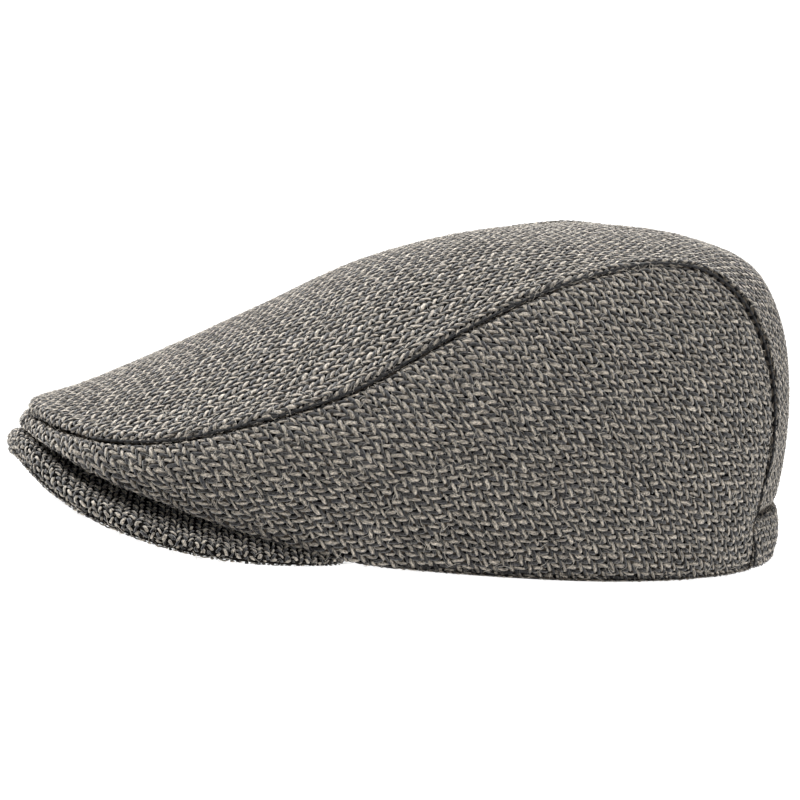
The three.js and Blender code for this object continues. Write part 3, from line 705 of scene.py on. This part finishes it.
bulge = edge[:, None] + FOLD_BULGE * (2 * edge[:, None] - start - stop) / 2
woven = stop + ((edge + fold_way * woven_to)[:, None] - stop) * shares(3)
hidden = woven[:, -1:] + (fold_end[:, None] - woven[:, -1:]) * shares(3)
side_grid = np.concatenate([side_wall, rounded(start, bulge, stop, 7), woven, hidden], 1)
side_grid[..., 0] = np.maximum(side_grid[..., 0], MEETING)
side_grid[..., 2] = np.maximum(side_grid[..., 2], HEM_LIFT)
side_normals = grid_normals(side_grid)

# How the face stands over the plain panel: down in the seams, drawn in at the stitches and the low back.
from_side_seam = nearest_on(seam_line, side_grid)[1]
from_band = nearest_on(side_grid[-1], side_grid)[1]
side_height = np.maximum(SEAM_DEPTH, np.interp(from_side_seam, SIDE_DISTANCE, SIDE_HEIGHT)
                         + np.interp(from_band, SIDE_DISTANCE, SIDE_HEIGHT))
side_open = ramp(side_stations, OPEN_FROM, OPEN_TO)
side_height *= (1 - OPEN_SHALLOWER * side_open) * np.clip(
    side_stations / TIP_LENGTH, TIP_DEPTH, 1)[:, None]
low_back = ramp(side_stations, LOW_BACK_FROM, LOW_BACK_TO)
side_height = np.minimum(
    side_height, -LOW_BACK_DIP * low_back * np.interp(from_side_seam, DIP_DISTANCE, DIP_SHARE))
above_hem = (1 - down) * length
groove = np.exp(-((above_hem - STITCH_ABOVE_HEM) / GROOVE_WIDTH) ** 2)
side_height[:, :places] -= STITCH_GROOVE * groove * ramp(side_stations, GROOVE_FROM, GROOVE_TO)
side_face = side_grid + side_normals * side_height[..., None]
side_back = behind(side_grid, side_normals, side_height)
under = unit(top_point(side_stations, np.full(len(side_stations), 0.9)) - seam)
allowance = np.minimum(SEAM_ALLOWANCE, 0.5 * seam[:, 0:1])
side_back[:, 0] = seam + under * allowance - side_normals[:, 0] * ALLOWANCE_DEPTH
corner = np.minimum(down, 1 - 1.5 * CLOTH / np.maximum(length, 3 * CLOTH))
wall_inside = side_point(corner) - side_normals[:, :places] * CLOTH
fold_top = (fold_end + (0, 0, CLOTH))[:, None]
fold_inside = wall_inside[:, -1:] + (fold_top - wall_inside[:, -1:]) * shares(side_grid.shape[1] - places)
side_inside = np.concatenate([wall_inside, fold_inside], 1)
side_inside[..., 0] = np.maximum(side_inside[..., 0], MEETING)

rows, columns = side_face.shape[:2]
left_cut = grid_mesh("left_cut", side_face)
level = [(rows * share // 20) * columns + 30 for share in (9, 16)]
side_at, side_flat, side_area = cut_flat(left_cut, level, SIDE_GRAIN)
side_at = side_at.reshape(rows, columns, 2)
bpy.data.objects.remove(left_cut)
for hand, name, seed in ((1, "side_panel_left", 23), (-1, "side_panel_right", 37)):
    order = slice(None, None, hand)
    at = side_at * (hand, 1)
    at = (at - at.min((0, 1)))[:, order]
    face, back, inside = ((g * (hand, 1, 1))[:, order] for g in (side_face, side_back, side_inside))
    panel = wall_between(name + "_cloth", back, inside, at.reshape(-1, 2), name)
    shown = slice(0, -hidden.shape[1]) if hand > 0 else slice(hidden.shape[1], None)
    cut = grid_mesh(name + "_cut", face[:, shown])
    yarns = weave_onto(name, cut, at[:, shown].reshape(-1, 2), seed, SIDE_SKEW)

# Rear band. A narrow strip of the tweed across the back under the top panel, sewn in between the side
# panels and turned up at the hem like them. It bulges a little over the seam.
BAND_BULGE = 1.6
BAND_GRAIN = 4.0
BAND_HEIGHT = 18.0
BAND_GAP = 0.1                # from the side panels
BAND_SAG = 0.05               # and from the top panel
TURN_OUT, TURN_IN, TURN_END = -0.4, 0.8, 1.9  # the turned hem, inwards from its foot
BAND_MARKS = (18.0, 17.7, 17.3, 16.8, 16.1, 15.2, 14.0, 13.0, 12.0, 11.0, 10.0, 9.0, 8.0, 7.0, 6.0, 5.0,
              4.2, 3.6, 3.1, 2.6, 2.1, 1.6)  # places up the band
foot = edge_at(np.array(1.0))
band_across = np.linspace(1, -1, 121) * (1 - BAND_GAP / foot[0])
ratio = (1 - (np.abs(band_across * foot[0]) / HEAD_HALF_WIDTH) ** HEAD_FULLNESS) / (
    1 - (foot[0] / HEAD_HALF_WIDTH) ** HEAD_FULLNESS)
low = np.stack([
    foot[0] * band_across, HEAD_CENTRE_Y + (foot[1] - HEAD_CENTRE_Y) * ratio ** (1 / HEAD_FULLNESS),
    0 * band_across], -1)
high = top_point(np.ones(len(band_across)), band_across) - (0, 0, BAND_SAG)
lie = np.gradient(low + high, axis=0)
inward = -unit(np.stack([lie[:, 1], -lie[:, 0], 0 * band_across], -1))[:, None]
rise_marks = np.array(BAND_MARKS)
rise = rise_marks / BAND_HEIGHT
low = low[:, None]
straight = low + (high[:, None] - low) * rise[None, :, None]
straight = straight - inward * (BAND_BULGE * 4 * rise * (1 - rise))[None, :, None]
turn = rounded(straight[:, -1:], low + inward * TURN_OUT, low + inward * TURN_IN, 6)
band_grid = np.concatenate([straight, turn, low + inward * TURN_END], 1)
band_grid[..., 2] = np.maximum(band_grid[..., 2], HEM_LIFT)
band_normals = grid_normals(band_grid)
border = np.concatenate([band_grid[0], band_grid[-1], band_grid[:, 0]])
band_height = np.interp(nearest_on(border, band_grid)[1], SIDE_DISTANCE, SIDE_HEIGHT)
band_height[:, :len(rise)] -= STITCH_GROOVE * np.exp(
    -((rise_marks - STITCH_ABOVE_HEM) / GROOVE_WIDTH) ** 2)
band_face = band_grid + band_normals * band_height[..., None]
band_inside = band_grid + inward * CLOTH
rows, columns = band_face.shape[:2]
turned_up = np.linspace(0.1, 0.0, columns - len(rise))[None, :, None] * (0, 0, BAND_HEIGHT)
band_inside[:, len(rise):] = low + inward * CLOTH + turned_up
band_cut = grid_mesh("band_cut", band_face)
band_at, band_flat, band_area = cut_flat(
    band_cut, (30 * columns + 12, 90 * columns + 12), BAND_GRAIN)
band_back = behind(band_grid, band_normals, band_height)
for end, beside in ((0, 1), (-1, -2)):
    away = unit(band_grid[end] - band_grid[beside])
    band_back[end] = band_grid[end] + away * SEAM_ALLOWANCE - band_normals[end] * ALLOWANCE_DEPTH
band = wall_between("rear_band_cloth", band_back, band_inside, band_at, "rear_band")
band_yarns = weave_onto("rear_band", band_cut, band_at, 41)

# Peak. A stiff curved plate with a thin pad, covered in the tweed above and below. The upper cover is
# drawn over the rounded rim and sewn to the lower one just under it; its root is sewn in at the head.
PEAK_COLUMNS = ("rim_x", "rim_y", "root_x", "thick", "dip", "roll", "sag")
PEAK_ROWS = (
    (0, -137.9, 0, 4.6, 0, 2.2, 3.0), (16, -136.4, 11, 4.6, 0, 2.0, 2.8),
    (33, -131.4, 22, 4.6, 0, 1.6, 2.3),
    (48, -122.9, 32, 4.5, 0, 1.2, 1.6), (59.5, -111.4, 39, 4.4, 0, 0.9, 1.1),
    (67.5, -99.4, 44, 4.1, 0, 0.7, 0.9), (72.3, -87.4, 48, 3.7, 0, 0.5, 0.9),
    (74.8, -75.4, 51, 3.2, 0.1, 0.3, 1.0), (75.6, -62.9, 53.5, 2.8, 0.4, 0.1, 1.0),
    (74.6, -50.9, 55.5, 2.6, 1.1, 0, 0.9), (72, -41.4, 57, 2.4, 2, 0, 0.8),
    (67.5, -36.4, 57.5, 2.2, 2.6, 0, 0.4), (62, -35.9, 57.7, 2, 2.6, 0, 0),
)
ROLL_WIDTH = 9.0              # from the rim to where the padded roll has gone down to the plate
RIM_SEAM = -0.5               # where the covers meet, radians round the rim from its edge
PLATE_RIM = 0.25              # where the plate's faces stop, on each side of the edge
PLATE_INSET = 0.9             # the plate lies this far under the covers
PEAK_GRAIN = -23.0
PEAK_FLOAT, PEAK_YARN = 3.2, 1.15  # the yarn is drawn thinner where the cover is stretched
PEAK_SEAM_DISTANCE = (0.0, 0.2, 0.5, 0.9)
PEAK_SEAM_HEIGHT = (-0.8, -0.5, -0.15, 0.0)
half_stations = np.linspace(0, 1, 73)
signed = np.concatenate([-half_stations[:0:-1], half_stations])
rim, root, sag = (table_curve(PEAK_COLUMNS, PEAK_ROWS, names)(np.abs(signed)) for names in (
    ("rim_x", "rim_y", "thick"), ("root_x", "dip", "roll"), ("sag", "none", "none")))
root_y = HEAD_CENTRE_Y - (HEAD_HALF_LENGTH - CLOTH) * (
    1 - (root[:, 0] / (HEAD_HALF_WIDTH - CLOTH)) ** HEAD_FULLNESS) ** (1 / HEAD_FULLNESS)
half = rim[:, 2:3] / 2
span = np.hypot(rim[:, 0] - root[:, 0], rim[:, 1] - root_y)[:, None]


def peak_surface(first_turn, last_turn, count):
    """Points from the root out to the rim on the upper face, or the lower one: the flat part, and then
    round the rim by turns in radians from its edge, up positive."""
    flat_shares, turns = np.linspace(0, 1, 40)[:-1], np.linspace(first_turn, last_turn, count)
    roll = root[:, 2:3]
    above, below = (half + roll / 2) / span, half / span
    round_off = np.where(turns > 0, above, below)
    flat_to = 1 - (above if first_turn > 0 else below)
    along = np.concatenate([flat_to * flat_shares, 1 - round_off + round_off * np.cos(turns)], 1)
    lift = np.concatenate([np.full((len(signed), len(flat_shares)), np.sign(first_turn)),
                           np.ones((len(signed), 1)) * np.sin(turns)], 1)
    x = root[:, 0:1] + (rim[:, 0:1] - root[:, 0:1]) * along
    y = root_y[:, None] + (rim[:, 1:2] - root_y[:, None]) * along
    rise = np.clip((1 - (1 - along) * span / ROLL_WIDTH) * 2, 0, 1)
    z = (peak_middle(x) - root[:, 1:2] + half * lift + rise ** 2 * (3 - 2 * rise) * (
        roll * np.maximum(lift, 0) + sag[:, 0:1] * np.minimum(lift, 0)))
    return np.stack([x * np.sign(signed + 1e-9)[:, None], y, z], -1)


quarter = math.pi / 2
upper_grid = peak_surface(quarter, RIM_SEAM, 16)
lower_grid = peak_surface(-quarter, RIM_SEAM, 10)[:, ::-1]
rim_seam = upper_grid[:, -1]
for name, grid, seed in (("peak_upper", upper_grid, 53), ("peak_lower", lower_grid, 67)):
    height = np.interp(nearest_on(rim_seam, grid)[1], PEAK_SEAM_DISTANCE, PEAK_SEAM_HEIGHT)
    rows, columns = grid.shape[:2]
    cut = grid_mesh(name + "_cut", grid + grid_normals(grid) * height[..., None])
    across_peak = [(rows * third // 3) * columns + 20 for third in (1, 2)]
    peak_at = cut_flat(cut, across_peak, PEAK_GRAIN)[0]
    weave_onto(name, cut, peak_at, seed, 0.0, PEAK_FLOAT, PEAK_YARN)
# The ground of the covers, stretched tight over the pad and dark between the strands: painted shade, darker
# than the other panels' ground, so that the peak reads in deep shadow under the crown's fold.
peak_painted_shade_back = tweed_back("peak_cloth_back_painted_shade", "#09090a", "#1d1b19")
rim[:, :2] += (np.stack([root[:, 0], root_y], -1) - rim[:, :2]) * PLATE_INSET / span
span = span - PLATE_INSET
half = np.maximum(half - PLATE_INSET, 0.1)
plate_upper, plate_lower = (peak_surface(side * quarter, side * PLATE_RIM, 8) for side in (1, -1))
plate_at = plate_upper.reshape(-1, 3)[:, :2] * MM
peak = wall_between("peak_plate", plate_upper, plate_lower, plate_at, "peak", peak_painted_shade_back)

# Seam and hem stitches. Dark sewing thread, drawn tight in the grooves of the seams between the panels,
# and in one line just above the hem of the side panels and the rear band, which ends over the peak. The
# seams' thread is partly painted shade: drawn thick and nearly black, and raised where the seam lies open,
# it stands for the shade in the seam's groove as well as for the thread.
STITCH_LENGTH = 2.9
STITCH_PITCH, STITCH_THREAD = 3.4, 0.34
# The seams' thread is drawn thicker than real thread, as painted shade in the groove of the seam.
SEAM_PITCH, SEAM_THREAD_AND_SHADE = 2.6, 1.0  # drawn thick enough to show as the dark line of a seam
STITCH_PROUD = 0.15           # the hem's thread from the face
SEAM_SUNK = -0.5              # the seam's thread from the plain panel, under the rolled edge
SEAM_RISE, LOW_BACK_RISE = 0.95, 0.5  # how much higher it lies in the open seam, and at the low back
UPRIGHT_PROUD = 1.0           # and beside the rear band
SEAM_START, HEM_START = 0.12, 0.4


def stitching():
    """The tree that sews a stitch at each step along a line."""
    tree, sockets, given = new_tree("stitch_line", "Stitches", {
        "Line": "Geometry", "Pitch": "Float", "Length": "Float", "Width": "Float", "Thread": "Material"})
    line = add(tree, "GeometryNodeMeshToCurve", {"Mesh": given["Line"]})
    steps = add(tree, "GeometryNodeResampleCurve", {"Curve": line, "Length": given["Pitch"]}, mode="LENGTH")
    along = add(tree, "FunctionNodeAlignRotationToVector", {
        "Vector": add(tree, "GeometryNodeInputTangent")}, axis="X")
    half_width = add(tree, "Math MULTIPLY", [given["Width"], 0.5])
    size = add(tree, "CombineXYZ", [
        add(tree, "Math MULTIPLY", [given["Length"], 0.5]), half_width, half_width])
    stitch = add(tree, "GeometryNodeMeshUVSphere", {"Segments": 8, "Rings": 6, "Radius": 1.0})
    sewn = add(tree, "GeometryNodeInstanceOnPoints", {
        "Points": steps, "Instance": stitch, "Rotation": along, "Scale": size})
    real = add(tree, "GeometryNodeRealizeInstances", {"Geometry": sewn})
    smooth = add(tree, "GeometryNodeSetShadeSmooth", {"Geometry": real})
    dyed = add(tree, "GeometryNodeSetMaterial", {"Geometry": smooth, "Material": given["Thread"]})
    add(tree, "NodeGroupOutput", {"Stitches": dyed})
    return tree, sockets


# Spun sewing thread, nearly black, with a slight gloss.
sewing_thread = new_material("sewing_thread", {"Base Color": linear("#161618"), "Roughness": 0.6})[0]
mirror = np.array((-1, 1, 1))
hem_column = near_seam.shape[1] + between.shape[1] + EDGE_STEPS.index(STITCH_ABOVE_HEM)
hem_line = (side_face + side_normals * STITCH_PROUD)[side_stations > HEM_START, hem_column]
band_line = (band_face + band_normals * STITCH_PROUD)[:, BAND_MARKS.index(STITCH_ABOVE_HEM)]
seam_lies = SEAM_SUNK + SEAM_RISE * side_open + LOW_BACK_RISE * low_back
panel_line = (side_grid[:, 0] + side_normals[:, 0] * seam_lies)[side_stations > SEAM_START]
upright_line = (side_grid + side_normals * UPRIGHT_PROUD)[-1, :places - 4]
stitch_tree, stitch_sockets = stitching()
for name, lines, pitch, thread in (
        ("hem_stitches", (hem_line, hem_line * mirror, band_line), STITCH_PITCH, STITCH_THREAD),
        ("seam_stitches_and_shade", (panel_line, panel_line * mirror, upright_line, upright_line * mirror),
         SEAM_PITCH, SEAM_THREAD_AND_SHADE)):
    points, edges = [], []
    for line in lines:
        first = len(points)
        points += list(line)
        edges += [(first + k, first + k + 1) for k in range(len(line) - 1)]
    path = as_mesh(name + "_path", points, [], edges)
    made_by(stitch_tree, stitch_sockets, name, path.data, {
        "Pitch": pitch * MM, "Length": STITCH_LENGTH * MM, "Width": thread * MM, "Thread": sewing_thread})
    bpy.data.objects.remove(path)

# Stage. A large pale floor that glows white and lights the cap from below, a wide soft light from above
# the far side, as in a white tent, and a weak one on the back. The backdrop shows white but hardly lights.
FLOOR_REACH = 40.0            # metres
BACKDROP_GLOW = 0.02
# Matt pale card, lit from behind so that it looks evenly white.
floor_card = new_material("pale_floor", {
    "Base Color": linear("#9a9a99"), "Roughness": 0.9, "Emission Color": linear("#ffffff"),
    "Emission Strength": 0.99})[0]
corners = [(x * FLOOR_REACH / MM, y * FLOOR_REACH / MM, 0) for x, y in ((-1, -1), (1, -1), (1, 1), (-1, 1))]
floor = as_mesh("floor", corners, [(0, 1, 2, 3)])
floor.data.materials.append(floor_card)
world = bpy.data.worlds.new("studio")
world.use_nodes = True
backdrop = world.node_tree.nodes["Background"].inputs
backdrop["Color"].default_value = linear("#ffffff")
seen_directly = add(world.node_tree, "LightPath").outputs["Is Camera Ray"]
glow = add(world.node_tree, "Math MULTIPLY_ADD", [seen_directly, 1.0, BACKDROP_GLOW])
world.node_tree.links.new(glow.outputs[0], backdrop["Strength"])
bpy.context.scene.world = world
for name, energy, spread_angle, towards in (
        ("tent_light", 7.2, 65, (-0.6, -0.25, 1.0)), ("rear_light", 1.3, 60, (0.25, 1.0, 0.45))):
    light = bpy.data.lights.new(name, "SUN")
    light.energy = energy
    light.angle = math.radians(spread_angle)
    lamp = bpy.data.objects.new(name, light)
    lamp.rotation_euler = Vector(towards).to_track_quat("Z", "Y").to_euler()
    bpy.context.scene.collection.objects.link(lamp)

# Camera, from the wearer's left and a little above, tilted as the photograph is. It is far off with a
# long lens, so that the cap shows with little perspective.
AZIMUTH, ELEVATION, ROLL = (math.radians(a) for a in (72.0, 9.5, 6.0))
DISTANCE = 1266.0
TARGET = np.array((-17.04, 2.51, 40.38))
right = Vector((math.cos(AZIMUTH), math.sin(AZIMUTH), 0))
back = Vector((math.cos(ELEVATION) * math.sin(AZIMUTH), -math.cos(ELEVATION) * math.cos(AZIMUTH),
               math.sin(ELEVATION)))
up = back.cross(right)
right = math.cos(ROLL) * right + math.sin(ROLL) * up
up = back.cross(right)
lens = bpy.data.cameras.new("camera")
lens.sensor_width = 36.0
lens.lens = 162.0
lens.clip_end = 100.0
camera = bpy.data.objects.new("camera", lens)
camera.matrix_world = Matrix.Translation(Vector(TARGET * MM) + back * DISTANCE * MM) @ Matrix(
    (right, up, back)).transposed().to_4x4()
bpy.context.scene.collection.objects.link(camera)
bpy.context.scene.camera = camera
bpy.context.scene.view_settings.view_transform = "Standard"
